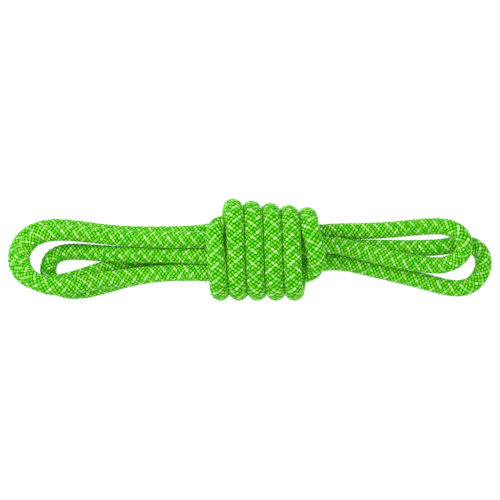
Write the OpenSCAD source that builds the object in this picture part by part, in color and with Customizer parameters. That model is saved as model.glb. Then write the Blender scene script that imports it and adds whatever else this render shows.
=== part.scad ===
// Dynamic climbing rope, folded into a flat hank and wrapped round its middle with its own tail.
// The hank lies on a surface: X runs along it, Y across it, Z up, in millimetres.
// One continuous rope follows one route. The braided sheath is drawn as stretches that meet end
// to end, and seven core strands run the whole way inside it.

/* [Rope] */
// Outer diameter of the rope
rope_d = 10; // [9.4:0.1:10]
// Wall thickness of the braided sheath
sheath_wall = 1.2; // [1:0.1:1.4]
// Length of each heat-sealed end
seal_length = 3; // [2:0.5:5]

/* [Wraps] */
// Distance from one wrap to the next
wrap_pitch = 11.5; // [11.4:0.1:11.7]
// Half width of the wraps' centre line towards -Y
wrap_near = 27.2; // [27:0.1:27.6]
// Half width of the wraps' centre line towards +Y, at X = 0
wrap_far = 26.4; // [26.3:0.1:26.8]
// Narrowing of the far side for each millimetre along X
wrap_taper = 0.12; // [0.08:0.01:0.13]
// Half height of the wraps' centre line
wrap_rise = 19; // [19:0.1:20]

/* [Hidden] */

// Guide points of the folded rope, stretch by stretch. The centre line follows them as a
// smooth curve. The floor is at Z = 0, so a centre line at Z = 5 lies on it.
start_pass = [[-6, -13.6, 17.6], [-13, -13.6, 17.6], [-20, -13.6, 17.1]];
inner_left = [[-31, -13.9, 12.4], [-44, -14, 8], [-60, -15, 5.2], [-76, -17.8, 5], [-90, -22, 5],
  [-101, -25, 5], [-111, -26.2, 5], [-120, -24.4, 5], [-126, -18.6, 5], [-127.2, -11.5, 5],
  [-125, -5, 5], [-118.5, -1.2, 5], [-107, -0.9, 5], [-94, -2.1, 9.5], [-80, -2.7, 14.2],
  [-64, -3, 15.4], [-50, -3.1, 17.5], [-38, -3.4, 21.5]];
pass_1 = [[-26, -4, 27], [-14, -4.8, 30.4], [3, -4.8, 30.6], [19, -4.2, 30.4], [31, -0.6, 28.6]];
inner_right = [[42, 3, 26], [53, 3.3, 21], [64, 0.6, 17], [76, -2.7, 14.8], [89, -5.6, 13.4],
  [101, -7.8, 12.8], [112, -9.6, 12], [121.5, -9.8, 11.8], [129, -6.6, 13], [134.2, -0.6, 14.9],
  [134, 7, 15.9], [128.8, 12.8, 13.8], [120, 15.2, 9.5], [109, 14.7, 6], [95, 13.3, 5],
  [79, 12, 5], [64, 11.7, 7], [53, 11.6, 11.5]];
pass_2 = [[42, 10.6, 16.5], [30, 9.8, 18.6], [15, 11.6, 18.4], [-2, 13.4, 18.2], [-16, 13.2, 17.8]];
outer_left = [[-28, 10.8, 15.5], [-40, 9.9, 11.5], [-56, 9.7, 7], [-72, 9.7, 5], [-88, 10.6, 5],
  [-104, 12.8, 5], [-118, 14.7, 5], [-129, 14.2, 5], [-138.4, 10.8, 5], [-145, 3.8, 5],
  [-147.4, -4.5, 5.2], [-145.5, -12.5, 7.6], [-139, -18.6, 11.6], [-129.5, -21.2, 15],
  [-118.5, -20.4, 15.4], [-107, -17.4, 12.2], [-96, -13.4, 7.8], [-84, -9.6, 5.2],
  [-70, -6.2, 5], [-54, -4.1, 5.4], [-40, -3.8, 9]];
pass_3 = [[-28, -3.7, 14.5], [-15, -3.3, 16.7], [0, -3.4, 16.7], [16, -9.8, 17.2],
  [31, -10.6, 17.4]];
outer_right = [[42, -8.4, 17], [52, -7.2, 14.6], [64, -8.6, 9.6], [78, -12.2, 5.8], [93, -15.6, 5],
  [108, -19.3, 5], [121, -23.1, 5], [131, -24.7, 5], [139.5, -22.3, 5], [145, -16, 5],
  [147.2, -8.4, 5], [145.6, -1.6, 5], [140.4, 3.4, 5], [131.6, 3.8, 5], [121, 1.8, 5],
  [109, 1.1, 5], [94, 1.1, 5], [78, 1.4, 5], [64, 1.4, 6.4]];
pass_4 = [[52, 1.5, 9.4], [42, 1.3, 12.9], [32, 0.1, 16.3], [21, 0, 19.4], [10, 2.2, 21.6],
  [0, 3.6, 24], [-9, 4.2, 24.8], [-18, 5.5, 27.8]];
middle_left = [[-28, 6.4, 28.5], [-40, 6.5, 25.3], [-52, 6.5, 22.2], [-66, 6.8, 19.2],
  [-80, 7.6, 16.6], [-94, 8.9, 15.3], [-108, 10.5, 15.2], [-121, 11.2, 15.2],
  [-131, 9.6, 15.2], [-138.6, 4.8, 15.1], [-142.8, -2.5, 15.4], [-142, -10.5, 18.2],
  [-136.5, -17.6, 23.4], [-128, -22.2, 26], [-117.5, -23.6, 25.6], [-107, -21.9, 22],
  [-96, -19.6, 17.6], [-84, -17.8, 15.2], [-70, -16, 15.2], [-55, -14.4, 16.2],
  [-40, -14, 20.2]];
pass_5 = [[-28, -14.2, 25.2], [-16, -14.7, 27.8], [0, -14.7, 27.8], [16, -14.6, 27.6],
  [28.5, -14.6, 27.2], [34.4, -15.5, 28.7], [40.4, -12.6, 33.8], [41.1, -4.3, 40.5], [39.2, 5.6, 42.4]];
tail = [[-19.7, -15, 41.3], [-20.7, -6, 42.2], [-21.2, 3, 42], [-22.3, 10, 40.6],
  [-20.2, 16.2, 34.4], [-14.2, 15.9, 28.6], [-4.2, 14.1, 28.2], [2, 13, 28.5], [8, 13, 28.5]];

// The wraps start where the rope leaves pass 5, and each turn is worked out from its angle.
wrap_first = 120;
wrap_last = 1830;
wrap_step = 30;
wrap_x = 39.1;
wrap_lean = 1.05;
wrap_square = 0.75;

// Half width of the wraps on one side at a place along X
function wrap_half(side, x) = side < 0 ? wrap_near : wrap_far - wrap_taper * x;

// A number raised to a power with its sign kept
function signed_power(value, power) = sign(value) * pow(abs(value), power);

// Share of the half height by which the lowest ring sits inside its guide point
wrap_inset = (1 - pow(cos(wrap_step), wrap_square)) / 3;

// Point of the wraps' centre line at an angle: 90 is over the top, 180 the far side, 270 underneath
function wrap_point(angle) =
  let (x = wrap_x - wrap_pitch * angle / 360 + wrap_lean * (1 - cos(angle)))
  let (across = -signed_power(cos(angle), wrap_square))
  [x, wrap_half(across, x) * across,
   rope_d / 2 + wrap_rise * (1 - wrap_inset + signed_power(sin(angle), wrap_square))];

wraps = [for (angle = [wrap_first : wrap_step : wrap_last]) wrap_point(angle)];

guide = concat(start_pass, inner_left, pass_1, inner_right, pass_2, outer_left, pass_3,
  outer_right, pass_4, middle_left, pass_5, wraps, tail);
last = len(guide) - 1;

// Ring numbers at which one sheath stretch ends and the next begins
end_start = len(start_pass);
end_inner_left = end_start + len(inner_left);
end_pass_1 = end_inner_left + len(pass_1);
end_inner_right = end_pass_1 + len(inner_right);
end_pass_2 = end_inner_right + len(pass_2);
end_outer_left = end_pass_2 + len(outer_left);
end_pass_3 = end_outer_left + len(pass_3);
end_outer_right = end_pass_3 + len(outer_right);
end_pass_4 = end_outer_right + len(pass_4);
end_middle_left = end_pass_4 + len(middle_left);
end_pass_5 = end_middle_left + len(pass_5);
turn_rings = 360 / wrap_step;
function end_wrap(turn) = end_pass_5 + turn * turn_rings;

// Sides of the sheath, of a core strand and of a sealed end, as they are drawn
sheath_sides = 10;
strand_sides = 5;
seal_sides = 48;

// Bore of the sheath, and the circle that just fits inside the bore's flats
bore_d = rope_d - 2 * sheath_wall;
flats_d = bore_d * cos(180 / sheath_sides);

// Three strands lie side by side across the bore, each with a small gap all round it
strands_round = 6;
strand_gap = 0.05;
strand_d = flats_d / 3 - 2 * strand_gap;
strand_ring_r = flats_d / 3;

function unit(v) = v / norm(v);

// Centre line: each ring sits a little inside its guide point, and the two ends sit on theirs
centres = [for (i = [0 : last])
  i == 0 || i == last ? guide[i] : (guide[i - 1] + 4 * guide[i] + guide[i + 1]) / 6];
headings = [for (i = [0 : last]) unit(guide[min(i + 1, last)] - guide[max(i - 1, 0)])];

// Side direction of each ring, carried along the rope without twisting
function carried(side, heading) = unit(side - (side * heading) * heading);
sides = [for (i = 0, side = carried([0, 1, 0], headings[0]); i <= last;
  i = i + 1, side = i <= last ? carried(side, headings[i]) : side) side];

// Points of a ring of the given radius, moved off the centre line by [sideways, upwards]
function ring(i, r, count, offset) =
  let (up = cross(headings[i], sides[i]))
  [for (k = [0 : count - 1]) centres[i]
    + sides[i] * (offset[0] + r * cos(360 * k / count))
    + up * (offset[1] + r * sin(360 * k / count))];

// Two triangles for each gap between neighbouring rings of points
function skin(first, count, rings, stride, inward) = [for (i = [0 : rings - 2], k = [0 : count - 1])
  let (next = (k + 1) % count)
  let (a = first + i * stride + k, b = first + i * stride + next)
  each inward ? [[a, b, b + stride], [a, b + stride, a + stride]]
    : [[a, b + stride, b], [a, a + stride, b + stride]]];

// Triangles that close the wall of a tube at one end
function rim(outer, inner, count, reversed) = [for (k = [0 : count - 1])
  let (next = (k + 1) % count)
  each reversed ? [[outer + k, inner + next, outer + next], [outer + k, inner + k, inner + next]]
    : [[outer + k, outer + next, inner + next], [outer + k, inner + next, inner + k]]];

// Hollow sheath between two ring numbers
module sheath(from, to) {
  rings = to - from + 1;
  stride = 2 * sheath_sides;
  end_ring = stride * (rings - 1);
  points = [for (i = [from : to])
    each concat(ring(i, rope_d / 2, sheath_sides, [0, 0]), ring(i, bore_d / 2, sheath_sides, [0, 0]))];
  faces = concat(
    skin(0, sheath_sides, rings, stride, false),
    skin(sheath_sides, sheath_sides, rings, stride, true),
    rim(0, sheath_sides, sheath_sides, false),
    rim(end_ring, end_ring + sheath_sides, sheath_sides, true));
  color("limegreen") polyhedron(points, faces);
}

// One core strand along the whole rope, off the centre line by [sideways, upwards]
module strand(offset) {
  end_ring = strand_sides * last;
  points = [for (i = [0 : last]) each ring(i, strand_d / 2, strand_sides, offset)];
  faces = concat(
    skin(0, strand_sides, last + 1, strand_sides, false),
    [[for (k = [0 : strand_sides - 1]) k]],
    [[for (k = [strand_sides - 1 : -1 : 0]) end_ring + k]]);
  color("white") polyhedron(points, faces);
}

// One of the strands that lie round the middle one
module outer_strand(number) {
  angle = 360 / strands_round * number;
  strand(strand_ring_r * [cos(angle), sin(angle)]);
}

// Melted and bevelled end of the rope, pointing along +X, flush against the sheath and the core
module seal(place) {
  edge = seal_length / 3;
  color("olive") translate(place) rotate([0, 90, 0]) union() {
    cylinder(d = rope_d, h = seal_length - edge, $fn = seal_sides);
    translate([0, 0, seal_length - edge])
      cylinder(d1 = rope_d, d2 = rope_d - 2 * edge, h = edge, $fn = seal_sides);
  }
}

module start_seal() { seal(guide[0]); }
module sheath_start() { sheath(0, end_start); }
module sheath_inner_left_bight() { sheath(end_start, end_inner_left); }
module sheath_pass_1() { sheath(end_inner_left, end_pass_1); }
module sheath_inner_right_bight() { sheath(end_pass_1, end_inner_right); }
module sheath_pass_2() { sheath(end_inner_right, end_pass_2); }
module sheath_outer_left_bight() { sheath(end_pass_2, end_outer_left); }
module sheath_pass_3() { sheath(end_outer_left, end_pass_3); }
module sheath_outer_right_bight() { sheath(end_pass_3, end_outer_right); }
module sheath_pass_4() { sheath(end_outer_right, end_pass_4); }
module sheath_middle_left_bight() { sheath(end_pass_4, end_middle_left); }
module sheath_pass_5() { sheath(end_middle_left, end_pass_5); }
module sheath_wrap_1() { sheath(end_wrap(0), end_wrap(1)); }
module sheath_wrap_2() { sheath(end_wrap(1), end_wrap(2)); }
module sheath_wrap_3() { sheath(end_wrap(2), end_wrap(3)); }
module sheath_wrap_4() { sheath(end_wrap(3), end_wrap(4)); }
module sheath_wrap_5() { sheath(end_wrap(4), end_pass_5 + len(wraps)); }
module sheath_tail() { sheath(end_pass_5 + len(wraps), last); }
module tail_seal() { seal(guide[last]); }
module core_strand_1() { strand([0, 0]); }
module core_strand_2() { outer_strand(0); }
module core_strand_3() { outer_strand(1); }
module core_strand_4() { outer_strand(2); }
module core_strand_5() { outer_strand(3); }
module core_strand_6() { outer_strand(4); }
module core_strand_7() { outer_strand(5); }

start_seal();
sheath_start();
sheath_inner_left_bight();
sheath_pass_1();
sheath_inner_right_bight();
sheath_pass_2();
sheath_outer_left_bight();
sheath_pass_3();
sheath_outer_right_bight();
sheath_pass_4();
sheath_middle_left_bight();
sheath_pass_5();
sheath_wrap_1();
sheath_wrap_2();
sheath_wrap_3();
sheath_wrap_4();
sheath_wrap_5();
sheath_tail();
tail_seal();
core_strand_1();
core_strand_2();
core_strand_3();
core_strand_4();
core_strand_5();
core_strand_6();
core_strand_7();
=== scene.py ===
import math
import bpy
import numpy as np
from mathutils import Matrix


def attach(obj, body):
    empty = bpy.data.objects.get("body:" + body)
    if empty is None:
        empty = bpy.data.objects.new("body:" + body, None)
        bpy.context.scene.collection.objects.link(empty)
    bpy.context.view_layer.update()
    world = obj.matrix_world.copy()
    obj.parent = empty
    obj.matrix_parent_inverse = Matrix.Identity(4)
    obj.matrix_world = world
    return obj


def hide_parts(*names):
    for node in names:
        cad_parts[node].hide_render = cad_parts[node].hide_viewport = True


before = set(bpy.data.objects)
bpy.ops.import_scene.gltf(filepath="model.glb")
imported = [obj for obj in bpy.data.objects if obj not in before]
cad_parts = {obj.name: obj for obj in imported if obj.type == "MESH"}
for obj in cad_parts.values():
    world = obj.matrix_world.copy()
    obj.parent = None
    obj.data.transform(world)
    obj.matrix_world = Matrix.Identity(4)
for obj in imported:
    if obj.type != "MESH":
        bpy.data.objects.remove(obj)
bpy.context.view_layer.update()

# ---------------------------------------------------------------- sizes, in metres

ROPE_D = 0.010          # outer diameter of the rope
RADIUS = ROPE_D / 2

# The sheath: a braid of yarns, as many to the left as to the right
YARNS = 9               # yarns that wind each way, over one and under one
LAY = 0.0228            # length of rope in which a yarn goes round once
YARN_HALF = 0.00050     # half the thickness of a yarn
YARN_RISE = 0.00045     # how far a float stands above and a dive sinks below the middle
FLOAT_PROUD = 0.00035   # how far the floats stand out of the rope's nominal diameter
YARN_MID = RADIUS + FLOAT_PROUD - YARN_RISE - YARN_HALF   # radius of the middle of the braid
YARN_SIDES = 6
ACCENT_EVERY = 3        # every third yarn is an accent
YARN_FILL = 0.98        # width of a yarn over the room between its neighbours
YARN_NARROWEST = 0.35   # least and most of its straight width that a yarn keeps in a bend
YARN_WIDEST = 1.3
DIVE_WIDTH = 0.80       # width of a yarn where it dives, over its width on a float
FLOAT_SQUARE = 0.9      # how flat the top of a float is
SAMPLES_PER_FLOAT = 6   # rings of points along one float and one dive
SAMPLE = LAY / YARNS / SAMPLES_PER_FLOAT    # distance between rings along the rope
BRAID_SLOPE = 2 * math.pi * YARN_MID / LAY  # sideways over lengthways on a straight rope

# The face that the yarns' undersides make
INSIDE_RADIUS = 0.0037
INSIDE_SIDES = 16

# The core: one strand in the middle and six round it, each of three twisted plies
STRANDS_ROUND = 6
CORE_RING = 0.00238     # from the rope's middle to an outer strand's middle
PLIES = 3
PLY_HALF = 0.00053
PLY_RING = 0.00057      # from a strand's middle to a ply's middle
PLY_LAY = 0.0115
PLY_SIDES = 5
PLY_SAMPLE = 0.0020

# The melted ends
SEAL_LENGTH = 0.003
SEAL_RINGS = 9
SEAL_SIDES = 72

# The wraps round the middle of the hank
WRAP_PITCH = 0.0115
WRAP_NEAR = 0.0272
WRAP_FAR = 0.0264
WRAP_TAPER = 0.12
WRAP_RISE = 0.019
WRAP_X = 0.0391
WRAP_LEAN = 0.00105
WRAP_SQUARE = 0.75
WRAP_FIRST = 120        # degrees
WRAP_LAST = 1830
WRAP_STEP = 30
WRAP_SPREAD = 0.10      # how much wider the rope lies where it is wound tight

# The bake map of a piece has its tubes in this many rows
YARN_BAKE_ROWS = 50
INSIDE_BAKE_ROWS = 10
PLY_BAKE_ROWS = 48
SEAL_BAKE_ROWS = 1

# Camera
CAMERA_HEIGHT = 1.5
VIEW_WIDTH = 0.3125     # what the picture takes in at the height of the loops
LOOPS_HEIGHT = 0.012
SENSOR = 36.0           # millimetres

# Light
SURROUND = 0.8          # brightness of the white surround
KEY_WATTS = 7.5
FILL_WATTS = 4.0


# ---------------------------------------------------------------- camera, floor and light

def look_down_camera():
    """The camera looks straight down on the hank, with +X to the right."""
    camera = bpy.data.cameras.new("camera")
    camera.sensor_width = SENSOR
    camera.lens = SENSOR * (CAMERA_HEIGHT - LOOPS_HEIGHT) / VIEW_WIDTH
    seen_from = bpy.data.objects.new("camera", camera)
    seen_from.location = (0, 0, CAMERA_HEIGHT)
    bpy.context.collection.objects.link(seen_from)
    bpy.context.scene.camera = seen_from


def softbox(name, place, size, watts):
    """A square area light that faces the middle of the hank."""
    light = bpy.data.lights.new(name, "AREA")
    light.shape = "SQUARE"
    light.size = size
    light.energy = watts
    lamp = bpy.data.objects.new(name, light)
    lamp.location = place
    lamp.rotation_mode = "QUATERNION"
    lamp.rotation_quaternion = lamp.location.normalized().to_track_quat("Z", "Y")
    bpy.context.collection.objects.link(lamp)


def white_floor():
    reach = 2.0
    corners = [(-reach, -reach, 0), (reach, -reach, 0), (reach, reach, 0), (-reach, reach, 0)]
    mesh = bpy.data.meshes.new("floor")
    mesh.from_pydata(corners, [], [(0, 1, 2, 3)])
    floor = bpy.data.objects.new("floor", mesh)
    bpy.context.collection.objects.link(floor)
    material = bpy.data.materials.new("white_floor")
    material.use_nodes = True
    shader = material.node_tree.nodes["Principled BSDF"]
    shader.inputs["Base Color"].default_value = (0.1, 0.1, 0.1, 1)
    shader.inputs["Roughness"].default_value = 0.9
    shader.inputs["Specular IOR Level"].default_value = 0.0
    shader.inputs["Emission Color"].default_value = (1, 1, 1, 1)
    shader.inputs["Emission Strength"].default_value = 1.0
    mesh.materials.append(material)


def studio():
    """A white surround and two soft lamps, the stronger one up and to the left."""
    world = bpy.data.worlds.new("studio")
    world.use_nodes = True
    background = world.node_tree.nodes["Background"]
    background.inputs["Color"].default_value = (1, 1, 1, 1)
    background.inputs["Strength"].default_value = SURROUND
    bpy.context.scene.world = world
    bpy.context.scene.view_settings.view_transform = "Standard"
    softbox("key", (-0.75, 0.5, 0.85), 0.5, KEY_WATTS)
    softbox("fill", (0.5, -0.6, 1.2), 1.0, FILL_WATTS)
    white_floor()


look_down_camera()
studio()


# ---------------------------------------------------------------- the rope's way through the hank

START_PASS = [
    (-0.006, -0.0136, 0.0176), (-0.013, -0.0136, 0.0176), (-0.02, -0.0136, 0.0171),
]
INNER_LEFT = [
    (-0.031, -0.0139, 0.0124), (-0.044, -0.014, 0.008), (-0.06, -0.015, 0.0052),
    (-0.076, -0.0178, 0.005), (-0.09, -0.022, 0.005), (-0.101, -0.025, 0.005),
    (-0.111, -0.0262, 0.005), (-0.12, -0.0244, 0.005), (-0.126, -0.0186, 0.005),
    (-0.1272, -0.0115, 0.005), (-0.125, -0.005, 0.005), (-0.1185, -0.0012, 0.005),
    (-0.107, -0.0009, 0.005), (-0.094, -0.0021, 0.0095), (-0.08, -0.0027, 0.0142),
    (-0.064, -0.003, 0.0154), (-0.05, -0.0031, 0.0175), (-0.038, -0.0034, 0.0215),
]
PASS_1 = [
    (-0.026, -0.004, 0.027), (-0.014, -0.0048, 0.0304), (0.003, -0.0048, 0.0306),
    (0.019, -0.0042, 0.0304), (0.031, -0.0006, 0.0286),
]
INNER_RIGHT = [
    (0.042, 0.003, 0.026), (0.053, 0.0033, 0.021), (0.064, 0.0006, 0.017),
    (0.076, -0.0027, 0.0148), (0.089, -0.0056, 0.0134), (0.101, -0.0078, 0.0128),
    (0.112, -0.0096, 0.012), (0.1215, -0.0098, 0.0118), (0.129, -0.0066, 0.013),
    (0.1342, -0.0006, 0.0149), (0.134, 0.007, 0.0159), (0.1288, 0.0128, 0.0138),
    (0.12, 0.0152, 0.0095), (0.109, 0.0147, 0.006), (0.095, 0.0133, 0.005),
    (0.079, 0.012, 0.005), (0.064, 0.0117, 0.007), (0.053, 0.0116, 0.0115),
]
PASS_2 = [
    (0.042, 0.0106, 0.0165), (0.03, 0.0098, 0.0186), (0.015, 0.0116, 0.0184),
    (-0.002, 0.0134, 0.0182), (-0.016, 0.0132, 0.0178),
]
OUTER_LEFT = [
    (-0.028, 0.0108, 0.0155), (-0.04, 0.0099, 0.0115), (-0.056, 0.0097, 0.007),
    (-0.072, 0.0097, 0.005), (-0.088, 0.0106, 0.005), (-0.104, 0.0128, 0.005),
    (-0.118, 0.0147, 0.005), (-0.129, 0.0142, 0.005), (-0.1384, 0.0108, 0.005),
    (-0.145, 0.0038, 0.005), (-0.1474, -0.0045, 0.0052), (-0.1455, -0.0125, 0.0076),
    (-0.139, -0.0186, 0.0116), (-0.1295, -0.0212, 0.015), (-0.1185, -0.0204, 0.0154),
    (-0.107, -0.0174, 0.0122), (-0.096, -0.0134, 0.0078), (-0.084, -0.0096, 0.0052),
    (-0.07, -0.0062, 0.005), (-0.054, -0.0041, 0.0054), (-0.04, -0.0038, 0.009),
]
PASS_3 = [
    (-0.028, -0.0037, 0.0145), (-0.015, -0.0033, 0.0167), (0, -0.0034, 0.0167),
    (0.016, -0.0098, 0.0172), (0.031, -0.0106, 0.0174),
]
OUTER_RIGHT = [
    (0.042, -0.0084, 0.017), (0.052, -0.0072, 0.0146), (0.064, -0.0086, 0.0096),
    (0.078, -0.0122, 0.0058), (0.093, -0.0156, 0.005), (0.108, -0.0193, 0.005),
    (0.121, -0.0231, 0.005), (0.131, -0.0247, 0.005), (0.1395, -0.0223, 0.005),
    (0.145, -0.016, 0.005), (0.1472, -0.0084, 0.005), (0.1456, -0.0016, 0.005),
    (0.1404, 0.0034, 0.005), (0.1316, 0.0038, 0.005), (0.121, 0.0018, 0.005),
    (0.109, 0.0011, 0.005), (0.094, 0.0011, 0.005), (0.078, 0.0014, 0.005),
    (0.064, 0.0014, 0.0064),
]
PASS_4 = [
    (0.052, 0.0015, 0.0094), (0.042, 0.0013, 0.0129), (0.032, 0.0001, 0.0163),
    (0.021, 0, 0.0194), (0.01, 0.0022, 0.0216), (0, 0.0036, 0.024), (-0.009, 0.0042, 0.0248),
    (-0.018, 0.0055, 0.0278),
]
MIDDLE_LEFT = [
    (-0.028, 0.0064, 0.0285), (-0.04, 0.0065, 0.0253), (-0.052, 0.0065, 0.0222),
    (-0.066, 0.0068, 0.0192), (-0.08, 0.0076, 0.0166), (-0.094, 0.0089, 0.0153),
    (-0.108, 0.0105, 0.0152), (-0.121, 0.0112, 0.0152), (-0.131, 0.0096, 0.0152),
    (-0.1386, 0.0048, 0.0151), (-0.1428, -0.0025, 0.0154), (-0.142, -0.0105, 0.0182),
    (-0.1365, -0.0176, 0.0234), (-0.128, -0.0222, 0.026), (-0.1175, -0.0236, 0.0256),
    (-0.107, -0.0219, 0.022), (-0.096, -0.0196, 0.0176), (-0.084, -0.0178, 0.0152),
    (-0.07, -0.016, 0.0152), (-0.055, -0.0144, 0.0162), (-0.04, -0.014, 0.0202),
]
PASS_5 = [
    (-0.028, -0.0142, 0.0252), (-0.016, -0.0147, 0.0278), (0, -0.0147, 0.0278),
    (0.016, -0.0146, 0.0276), (0.0285, -0.0146, 0.0272), (0.0344, -0.0155, 0.0287),
    (0.0404, -0.0126, 0.0338), (0.0411, -0.0043, 0.0405), (0.0392, 0.0056, 0.0424),
]
TAIL = [
    (-0.0197, -0.015, 0.0413), (-0.0207, -0.006, 0.0422), (-0.0212, 0.003, 0.042),
    (-0.0223, 0.01, 0.0406), (-0.0202, 0.0162, 0.0344), (-0.0142, 0.0159, 0.0286),
    (-0.0042, 0.0141, 0.0282), (0.002, 0.013, 0.0285), (0.008, 0.013, 0.0285),
]


def signed_power(value, power):
    return math.copysign(abs(value) ** power, value)


def wrap_points():
    """Guide points of the wraps: a squared helix along -X that rests on the floor."""
    inset = (1 - math.cos(math.radians(WRAP_STEP)) ** WRAP_SQUARE) / 3
    points = []
    for degrees in range(WRAP_FIRST, WRAP_LAST + 1, WRAP_STEP):
        angle = math.radians(degrees)
        x = WRAP_X - WRAP_PITCH * degrees / 360 + WRAP_LEAN * (1 - math.cos(angle))
        across = -signed_power(math.cos(angle), WRAP_SQUARE)
        half = WRAP_NEAR if across < 0 else WRAP_FAR - WRAP_TAPER * x
        rise = 1 - inset + signed_power(math.sin(angle), WRAP_SQUARE)
        points.append((x, half * across, RADIUS + WRAP_RISE * rise))
    return points


SPLINE_STEPS = 32


def spline(guide):
    """A uniform cubic B-spline along the guide points, which starts and ends on them."""
    guide = np.array(guide)
    guide = np.vstack([2 * guide[0] - guide[1], guide, 2 * guide[-1] - guide[-2]])
    t = (np.arange(SPLINE_STEPS) / SPLINE_STEPS)[None, :, None]
    weights = [(1 - t) ** 3, 3 * t ** 3 - 6 * t ** 2 + 4,
               -3 * t ** 3 + 3 * t ** 2 + 3 * t + 1, t ** 3]
    spans = len(guide) - 3
    line = sum(w * guide[i:i + spans, None, :] for i, w in enumerate(weights)) / 6
    return np.vstack([line.reshape(-1, 3), guide[-2]])


def lengths_along(line):
    return np.r_[0, np.cumsum(np.linalg.norm(np.diff(line, axis=0), axis=1))]


def unit(vectors):
    return vectors / np.linalg.norm(vectors, axis=-1, keepdims=True)


STRETCHES = [START_PASS, INNER_LEFT, PASS_1, INNER_RIGHT, PASS_2, OUTER_LEFT, PASS_3,
             OUTER_RIGHT, PASS_4, MIDDLE_LEFT, PASS_5, wrap_points(), TAIL]
GUIDE = [point for stretch in STRETCHES for point in stretch]
ROUTE = spline(GUIDE)
ROUTE_LENGTHS = lengths_along(ROUTE)
ROPE_LENGTH = ROUTE_LENGTHS[-1]


def length_at_guide(number):
    """Distance along the rope at which it passes this guide point."""
    return ROUTE_LENGTHS[number * SPLINE_STEPS]


WRAPS_FROM = length_at_guide(sum(len(stretch) for stretch in STRETCHES[:-2]))
WRAPS_TO = length_at_guide(len(GUIDE) - len(TAIL) - 1)


class MiddleLine:
    """The rope's middle at even distances, with a frame carried along it without twist."""

    def __init__(self, spacing):
        self.s = np.linspace(0, ROPE_LENGTH, 1 + round(ROPE_LENGTH / spacing))
        self.points = np.stack(
            [np.interp(self.s, ROUTE_LENGTHS, ROUTE[:, axis]) for axis in range(3)], axis=1)
        self.ahead = unit(np.gradient(self.points, axis=0))
        side = np.array([0.0, 1.0, 0.0])
        sides = []
        for ahead in self.ahead:
            side = unit(side - side.dot(ahead) * ahead)
            sides.append(side)
        self.side = np.array(sides)
        self.up = np.cross(self.ahead, self.side)
        self.bend = np.gradient(self.ahead, self.s, axis=0)
        self.widening = self.wrap_widening()

    def wrap_widening(self):
        """How much wider along X the rope lies at each place: more only in the tight wraps."""
        ramp = 0.02
        beyond = 0.035   # the climb into the first wrap and the last one's top spread as well
        rising = np.clip((self.s - WRAPS_FROM + beyond) / ramp, 0, 1)
        falling = np.clip((WRAPS_TO + beyond - self.s) / ramp, 0, 1)
        amount = rising * falling
        return 1 + WRAP_SPREAD * amount * amount * (3 - 2 * amount)

    def outward(self, turn):
        """The direction out of the rope at each of these angles round it, in radians."""
        return np.cos(turn)[:, None] * self.side + np.sin(turn)[:, None] * self.up

    def at(self, offset):
        """The points at these offsets from the middle."""
        wider = offset.copy()
        wider[:, 0] *= self.widening
        return self.points + wider


# ---------------------------------------------------------------- meshes of tubes

def ring_quads(rings, sides):
    ring = np.arange(rings - 1)[:, None] * sides
    side = np.arange(sides)[None, :]
    after = (side + 1) % sides
    corners = [ring + side, ring + after, ring + sides + after, ring + sides + side]
    return np.stack(np.broadcast_arrays(*corners), axis=-1).reshape(-1, 4)


def tubes_object(name, tubes, bake_rows):
    """One object of several closed tubes, each given as (rings, along, across, crest).

    rings are the points of each ring, along each ring's distance along the tube, across the
    distances of a ring's points round it, with the first point again at the end, and crest
    how far each point stands out of the braid, from 0 in its crevices to 1 on its floats.
    """
    rings, sides = tubes[0][0].shape[:2]
    per_tube = rings * sides
    points = np.concatenate([tube[0].reshape(-1, 3) for tube in tubes])
    points[:, 2] = np.maximum(points[:, 2], 0)   # the floor flattens the lowest floats
    quads = ring_quads(rings, sides)
    faces = np.concatenate([quads + number * per_tube for number in range(len(tubes))])
    near_cap = np.arange(sides)[::-1]
    far_cap = per_tube - sides + np.arange(sides)
    caps = np.concatenate([cap + number * per_tube
                           for number in range(len(tubes)) for cap in (near_cap, far_cap)])
    cap_count = 2 * len(tubes)

    mesh = bpy.data.meshes.new(name)
    mesh.vertices.add(len(points))
    mesh.vertices.foreach_set("co", points.ravel())
    corners = np.concatenate([faces.ravel(), caps])
    mesh.loops.add(len(corners))
    mesh.loops.foreach_set("vertex_index", corners)
    mesh.polygons.add(len(faces) + cap_count)
    starts = np.r_[np.arange(len(faces)) * 4, len(faces) * 4 + np.arange(cap_count) * sides]
    mesh.polygons.foreach_set("loop_start", starts)
    mesh.polygons.foreach_set("use_smooth", np.ones(len(starts), bool))
    mesh.update(calc_edges=True)
    # The crest is also the mask by which the materials paint shade into the braid's crevices
    crest = mesh.attributes.new("crest", "FLOAT", "POINT")
    crest.data.foreach_set("value", np.concatenate([tube[3].ravel() for tube in tubes]))
    add_fibre_map(mesh, tubes, cap_count * sides)
    add_bake_map(mesh, len(tubes), rings - 1, sides, bake_rows, cap_count * sides)
    made = bpy.data.objects.new(name, mesh)
    bpy.context.collection.objects.link(made)
    return made


def set_map(mesh, name, corners, spare):
    """A map from four arrays of face corners; the spare corners of the caps lie at zero."""
    corners = [np.stack(np.broadcast_arrays(u, v), axis=-1) for u, v in corners]
    values = np.stack(corners, axis=-2).reshape(-1, 2)
    layer = mesh.uv_layers.new(name=name)
    layer.data.foreach_set("uv", np.concatenate([values, np.zeros((spare, 2))]).ravel())


def add_fibre_map(mesh, tubes, spare):
    """A map in millimetres along and round each tube, for the pattern of its fibres."""
    tube_gap = 0.037
    along = np.stack([tube[1] + number * tube_gap for number, tube in enumerate(tubes)]) * 1000
    across = np.stack([tube[2] for tube in tubes])[:, None, :] * 1000
    near, far = along[:, :-1, None], along[:, 1:, None]
    left, right = across[..., :-1], across[..., 1:]
    set_map(mesh, "fibres", [(near, left), (near, right), (far, right), (far, left)], spare)


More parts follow.
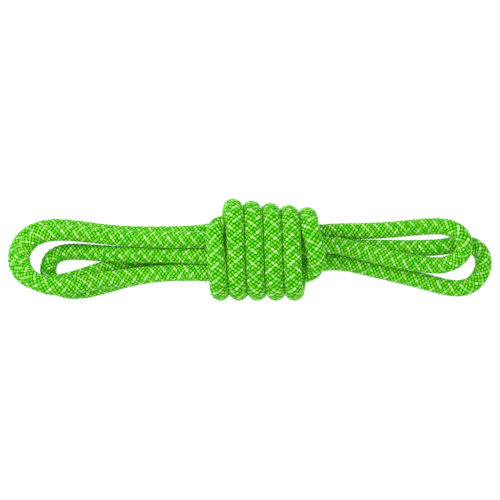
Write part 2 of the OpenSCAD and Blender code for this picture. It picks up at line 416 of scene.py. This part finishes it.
def add_bake_map(mesh, tubes, lengths, sides, rows, spare):
    """The bake map: the tubes laid out in strips, row over row."""
    row_fill = 0.94
    strips = np.arange(tubes * lengths)[:, None]
    per_row = -(-len(strips) // rows)
    left = (strips % per_row) / per_row
    right = left + 1 / per_row
    low = strips // per_row / rows + np.arange(sides)[None, :] * row_fill / rows / sides
    high = low + row_fill / rows / sides
    set_map(mesh, "OFBake", [(left, low), (left, high), (right, high), (right, low)], spare)


# ---------------------------------------------------------------- materials

# The pale lime: partly the green yarns' own tone, partly a painted highlight on their floats
LIME_WITH_PAINTED_HIGHLIGHT = (0.42, 0.94, 0.025)
GREEN = (0.045, 0.56, 0.0)
# The deep green: painted shade for the braid's crevices and the face under the yarns
PAINTED_SHADE_GREEN = (0.0, 0.33, 0.0)
CREAM = (0.92, 0.97, 0.56)
# The straw: the cream accent yarn painted in shade, for the accents of the Z lay
CREAM_IN_PAINTED_SHADE = (0.66, 0.78, 0.30)
PALE = (0.95, 1.0, 0.55)
SCORCHED = (0.10, 0.16, 0.02)
GLASSY = (0.22, 0.42, 0.05)
PAINTED_GLOW = 0.07     # a painted glow: the yarns give out a little of their own colour, which lightens their shade
WHITE = (0.85, 0.85, 0.82)
OFF_WHITE = (0.70, 0.70, 0.66)


def fibre_material(name, colour, shade, depth, colour_from, roughness, sheen):
    """Twisted fibres: fine streaks along the yarn, in the colour, its roughness and its relief.

    The colour goes down to the depth colour in the crevices of the braid: a painted shade,
    standing in for the braid's own shadow there. It starts to show this far (colour_from) up
    from the crevices to the tops of the floats.
    """
    streaks_along = 0.35    # per millimetre
    streaks_across = 5.0
    patches_per_metre = 380.0
    patch_weight = 0.7      # the patches' say in the colour, over the streaks'
    shade_up_to = 0.74      # where the two together are all shade, and all colour
    colour_above = 0.92
    crest_full = 0.97
    material = bpy.data.materials.new(name)
    material.use_nodes = True
    nodes, links = material.node_tree.nodes, material.node_tree.links
    shader = nodes["Principled BSDF"]

    fibres = nodes.new("ShaderNodeUVMap")
    fibres.uv_map = "fibres"
    stretched = nodes.new("ShaderNodeMapping")
    stretched.inputs["Scale"].default_value = (streaks_along, streaks_across, 1)
    streaks = nodes.new("ShaderNodeTexNoise")
    streaks.noise_dimensions = "2D"
    streaks.inputs["Scale"].default_value = 1.0
    streaks.inputs["Detail"].default_value = 3.0
    links.new(fibres.outputs["UV"], stretched.inputs["Vector"])
    links.new(stretched.outputs["Vector"], streaks.inputs["Vector"])

    place = nodes.new("ShaderNodeTexCoord")
    patches = nodes.new("ShaderNodeTexNoise")
    patches.inputs["Scale"].default_value = patches_per_metre
    patches.inputs["Detail"].default_value = 2.0
    links.new(place.outputs["Object"], patches.inputs["Vector"])

    both = nodes.new("ShaderNodeMath")
    both.operation = "MULTIPLY_ADD"
    both.inputs[1].default_value = patch_weight
    links.new(patches.outputs["Fac"], both.inputs[0])
    links.new(streaks.outputs["Fac"], both.inputs[2])
    ramp = nodes.new("ShaderNodeValToRGB")
    ramp.color_ramp.elements[0].position = shade_up_to
    ramp.color_ramp.elements[0].color = (*shade, 1)
    ramp.color_ramp.elements[1].position = colour_above
    ramp.color_ramp.elements[1].color = (*colour, 1)
    links.new(both.outputs["Value"], ramp.inputs["Fac"])

    # Painted shade: the crest mixes the colour down to the depth colour in the braid's crevices
    crest = nodes.new("ShaderNodeAttribute")
    crest.attribute_name = "crest"
    lifted = nodes.new("ShaderNodeMapRange")
    lifted.inputs["From Min"].default_value = colour_from
    lifted.inputs["From Max"].default_value = crest_full
    links.new(crest.outputs["Fac"], lifted.inputs["Value"])
    colour_with_painted_shade = nodes.new("ShaderNodeMix")
    colour_with_painted_shade.data_type = "RGBA"
    colour_with_painted_shade.inputs["A"].default_value = (*depth, 1)
    links.new(lifted.outputs["Result"], colour_with_painted_shade.inputs["Factor"])
    links.new(ramp.outputs["Color"], colour_with_painted_shade.inputs["B"])
    links.new(colour_with_painted_shade.outputs["Result"], shader.inputs["Base Color"])

    gloss = nodes.new("ShaderNodeMapRange")
    gloss.inputs["To Min"].default_value = roughness + 0.1
    gloss.inputs["To Max"].default_value = roughness - 0.1
    links.new(streaks.outputs["Fac"], gloss.inputs["Value"])
    links.new(gloss.outputs["Result"], shader.inputs["Roughness"])

    relief = nodes.new("ShaderNodeBump")
    relief.inputs["Strength"].default_value = 0.35
    relief.inputs["Distance"].default_value = 0.00006
    links.new(streaks.outputs["Fac"], relief.inputs["Height"])
    links.new(relief.outputs["Normal"], shader.inputs["Normal"])

    shader.inputs["Specular IOR Level"].default_value = 0.06
    # Painted glow: the surface gives out a little light in its own colour, lightening its shade
    links.new(colour_with_painted_shade.outputs["Result"], shader.inputs["Emission Color"])
    shader.inputs["Emission Strength"].default_value = PAINTED_GLOW
    shader.inputs["Sheen Weight"].default_value = sheen
    shader.inputs["Sheen Roughness"].default_value = 0.45
    shader.inputs["Sheen Tint"].default_value = (*PALE, 1)
    return material


def accent_material(name, colour):
    # Accents go down to green, a painted shade, in the braid's crevices
    return fibre_material(name, colour, GREEN, GREEN, colour_from=0.45, roughness=0.42,
                          sheen=0.03)


def green_material(name):
    # Greens go down to the painted shade green in the crevices; their floats show the lime,
    # partly a painted highlight
    return fibre_material(name, LIME_WITH_PAINTED_HIGHLIGHT, GREEN, PAINTED_SHADE_GREEN, colour_from=0.62, roughness=0.38,
                          sheen=0.015)


def melted_material():
    """Fused nylon: glassy, browner where it was hottest."""
    material = bpy.data.materials.new("melted_nylon")
    material.use_nodes = True
    nodes, links = material.node_tree.nodes, material.node_tree.links
    shader = nodes["Principled BSDF"]
    place = nodes.new("ShaderNodeTexCoord")
    scorch = nodes.new("ShaderNodeTexNoise")
    scorch.inputs["Scale"].default_value = 420.0
    scorch.inputs["Detail"].default_value = 4.0
    links.new(place.outputs["Object"], scorch.inputs["Vector"])
    ramp = nodes.new("ShaderNodeValToRGB")
    ramp.color_ramp.elements[0].position = 0.35
    ramp.color_ramp.elements[0].color = (*SCORCHED, 1)
    ramp.color_ramp.elements[1].position = 0.70
    ramp.color_ramp.elements[1].color = (*GLASSY, 1)
    links.new(scorch.outputs["Fac"], ramp.inputs["Fac"])
    links.new(ramp.outputs["Color"], shader.inputs["Base Color"])
    gloss = nodes.new("ShaderNodeMapRange")
    gloss.inputs["To Min"].default_value = 0.2
    gloss.inputs["To Max"].default_value = 0.45
    links.new(scorch.outputs["Fac"], gloss.inputs["Value"])
    links.new(gloss.outputs["Result"], shader.inputs["Roughness"])
    relief = nodes.new("ShaderNodeBump")
    relief.inputs["Strength"].default_value = 0.5
    relief.inputs["Distance"].default_value = 0.0002
    links.new(scorch.outputs["Fac"], relief.inputs["Height"])
    links.new(relief.outputs["Normal"], shader.inputs["Normal"])
    return material


# ---------------------------------------------------------------- the braided sheath

def float_height(turn):
    """1 on top of a float and -1 at the bottom of a dive, at each angle round the rope."""
    return np.tanh(FLOAT_SQUARE * np.cos(YARNS * turn)) / math.tanh(FLOAT_SQUARE)


def yarn(line, number, hand):
    """One yarn as a tube: hand 1 winds one way round the rope and -1 the other way."""
    turn = 2 * math.pi * (number / YARNS + hand * line.s / LAY)
    height = hand * float_height(turn)
    outward = line.outward(turn)
    middle = line.at((YARN_MID + YARN_RISE * height)[:, None] * outward)
    ahead = unit(np.gradient(middle, axis=0))
    wide = unit(np.cross(ahead, outward))
    out = np.cross(wide, ahead)

    stretched = 1 - YARN_MID * np.sum(line.bend * outward, axis=1)
    crossing = np.linalg.norm(np.cross(line.ahead, ahead), axis=1)
    straight_room = LAY / YARNS * math.sin(math.atan(BRAID_SLOPE))
    room = LAY / YARNS * stretched * crossing
    room = np.clip(room, YARN_NARROWEST * straight_room, YARN_WIDEST * straight_room)
    plump = (1 + DIVE_WIDTH) / 2 + (1 - DIVE_WIDTH) / 2 * height
    half_width = YARN_FILL / 2 * room * plump

    angles = 2 * math.pi * (np.arange(YARN_SIDES) + 0.5) / YARN_SIDES
    rings = (middle[:, None, :]
             + (half_width[:, None] * np.cos(angles))[..., None] * wide[:, None, :]
             + (YARN_HALF * np.sin(angles))[None, :, None] * out[:, None, :])
    along = line.s * math.hypot(1, BRAID_SLOPE)
    across = 2 * straight_room * np.arange(YARN_SIDES + 1) / YARN_SIDES
    # How far each point stands out: low values get the painted crevice shade
    stands_out = YARN_RISE * height[:, None] + YARN_HALF * np.sin(angles)
    crest = np.clip(stands_out / (YARN_RISE + YARN_HALF), 0, 1)
    return rings, along, across, crest


def yarns_object(line, name, numbers, hand, material):
    yarns = [yarn(line, number, hand) for number in numbers]
    made = tubes_object(name, yarns, YARN_BAKE_ROWS)
    made.data.materials.append(material)
    return made


def round_tube(line, radius, sides):
    """A round tube along the rope's middle."""
    angles = 2 * math.pi * np.arange(sides) / sides
    rings = np.stack([
        line.at(radius * math.cos(angle) * line.side + radius * math.sin(angle) * line.up)
        for angle in angles], axis=1)
    across = 2 * math.pi * radius * np.arange(sides + 1) / sides
    # A crest of 0 all round: the tube takes its material's painted crevice shade everywhere
    return rings, line.s, across, np.zeros((len(rings), sides))


# ---------------------------------------------------------------- the core

def ply(line, strand_offset, number):
    """One of the plies that a core strand is twisted from."""
    turn = 2 * math.pi * (number / PLIES + line.s / PLY_LAY)
    sideways = strand_offset[0] + PLY_RING * np.cos(turn)
    upwards = strand_offset[1] + PLY_RING * np.sin(turn)
    middle = line.at(sideways[:, None] * line.side + upwards[:, None] * line.up)
    ahead = unit(np.gradient(middle, axis=0))
    wide = unit(np.cross(ahead, line.up))
    out = np.cross(wide, ahead)
    angles = 2 * math.pi * np.arange(PLY_SIDES) / PLY_SIDES
    rings = (middle[:, None, :]
             + (PLY_HALF * np.cos(angles))[None, :, None] * wide[:, None, :]
             + (PLY_HALF * np.sin(angles))[None, :, None] * out[:, None, :])
    across = 2 * math.pi * PLY_HALF * np.arange(PLY_SIDES + 1) / PLY_SIDES
    return rings, line.s, across, np.ones((len(rings), PLY_SIDES))


def core_strand(line, name, offset, material):
    plies = [ply(line, offset, number) for number in range(PLIES)]
    made = tubes_object(name, plies, PLY_BAKE_ROWS)
    made.data.materials.append(material)
    return made


# ---------------------------------------------------------------- the melted ends

def melted_end(name, place, material):
    """A cap of fused yarns that rounds off towards +X, with the braid's ridges fading out."""
    dome_from = 0.45        # share of the length at which the dome begins
    dome_depth = 0.93       # how far the dome closes, from 0 to 1
    slimmer = 0.97          # radius over the rope's
    ridge = 0.00012
    rings = []
    for ring in range(SEAL_RINGS):
        share = ring / (SEAL_RINGS - 1)
        dome = max(0.0, (share - dome_from) / (1 - dome_from))
        radius = RADIUS * slimmer * math.sqrt(1 - (dome_depth * dome) ** 2)
        points = []
        for side in range(SEAL_SIDES):
            turn = 2 * math.pi * side / SEAL_SIDES
            ridges = (1 - dome) * math.cos(YARNS * turn)
            lumps = math.sin(3 * turn + 5 * share)
            out = radius - ridge + ridge * (ridges + lumps) * (1 - dome / 2)
            points.append((SEAL_LENGTH * share, out * math.cos(turn), out * math.sin(turn)))
        rings.append(points)
    rings = np.array(rings) + np.array(place)
    along = SEAL_LENGTH * np.arange(SEAL_RINGS) / (SEAL_RINGS - 1)
    across = math.pi * ROPE_D * np.arange(SEAL_SIDES + 1) / SEAL_SIDES
    made = tubes_object(name, [(rings, along, across, np.ones(rings.shape[:2]))], SEAL_BAKE_ROWS)
    made.data.materials.append(material)
    return made


# ---------------------------------------------------------------- the rope

SHEATH_NODES = [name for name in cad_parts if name.startswith("sheath_")]

fine_line = MiddleLine(SAMPLE)
core_line = MiddleLine(PLY_SAMPLE)
inside_line = MiddleLine(SAMPLE * 2)

dressings = {
    "s_accent": accent_material("s_accent_yarn", CREAM),
    "s_green": green_material("s_green_yarn"),
    # The Z lay's accents: the same cream yarn as the S lay's, painted in shade
    "z_accent": accent_material("z_accent_yarn_in_painted_shade", CREAM_IN_PAINTED_SHADE),
    "z_green": green_material("z_green_yarn"),
}

sheath_pieces = []
for lay, hand in (("s", 1), ("z", -1)):
    for group in range(ACCENT_EVERY):
        kind = "accent" if group == 0 else "green"
        name = f"{lay}_yarns_accent" if group == 0 else f"{lay}_yarns_green_{group}"
        numbers = range(group, YARNS, ACCENT_EVERY)
        piece = yarns_object(fine_line, name, numbers, hand, dressings[f"{lay}_{kind}"])
        sheath_pieces.append(piece)

# The face under the yarns takes the painted shade green all over, as its crest is 0 everywhere
inside_tube = round_tube(inside_line, INSIDE_RADIUS, INSIDE_SIDES)
inside = tubes_object("sheath_inside", [inside_tube], INSIDE_BAKE_ROWS)
inside.data.materials.append(
    fibre_material("sheath_underside_painted_shade", GREEN, PAINTED_SHADE_GREEN, PAINTED_SHADE_GREEN, colour_from=0.62,
                   roughness=0.6, sheen=0.04))
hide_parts(*SHEATH_NODES)

core_white = fibre_material("core_nylon", WHITE, OFF_WHITE, OFF_WHITE, colour_from=0.25,
                            roughness=0.5, sheen=0.1)
core_pieces = []
for number in range(1 + STRANDS_ROUND):
    angle = 2 * math.pi * (number - 1) / STRANDS_ROUND
    ring = CORE_RING if number else 0
    offset = (ring * math.cos(angle), ring * math.sin(angle))
    piece = core_strand(core_line, f"core_plies_{number + 1}", offset, core_white)
    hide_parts(f"core_strand_{number + 1}")
    core_pieces.append(piece)

melted = melted_material()
seal_pieces = []
for node, place in (("start_seal", GUIDE[0]), ("tail_seal", GUIDE[-1])):
    piece = melted_end(node.replace("seal", "melted_end"), place, melted)
    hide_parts(node)
    seal_pieces.append(piece)

on_the_rope = sheath_pieces + core_pieces + seal_pieces
for piece in [inside] + on_the_rope:
    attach(piece, "root")
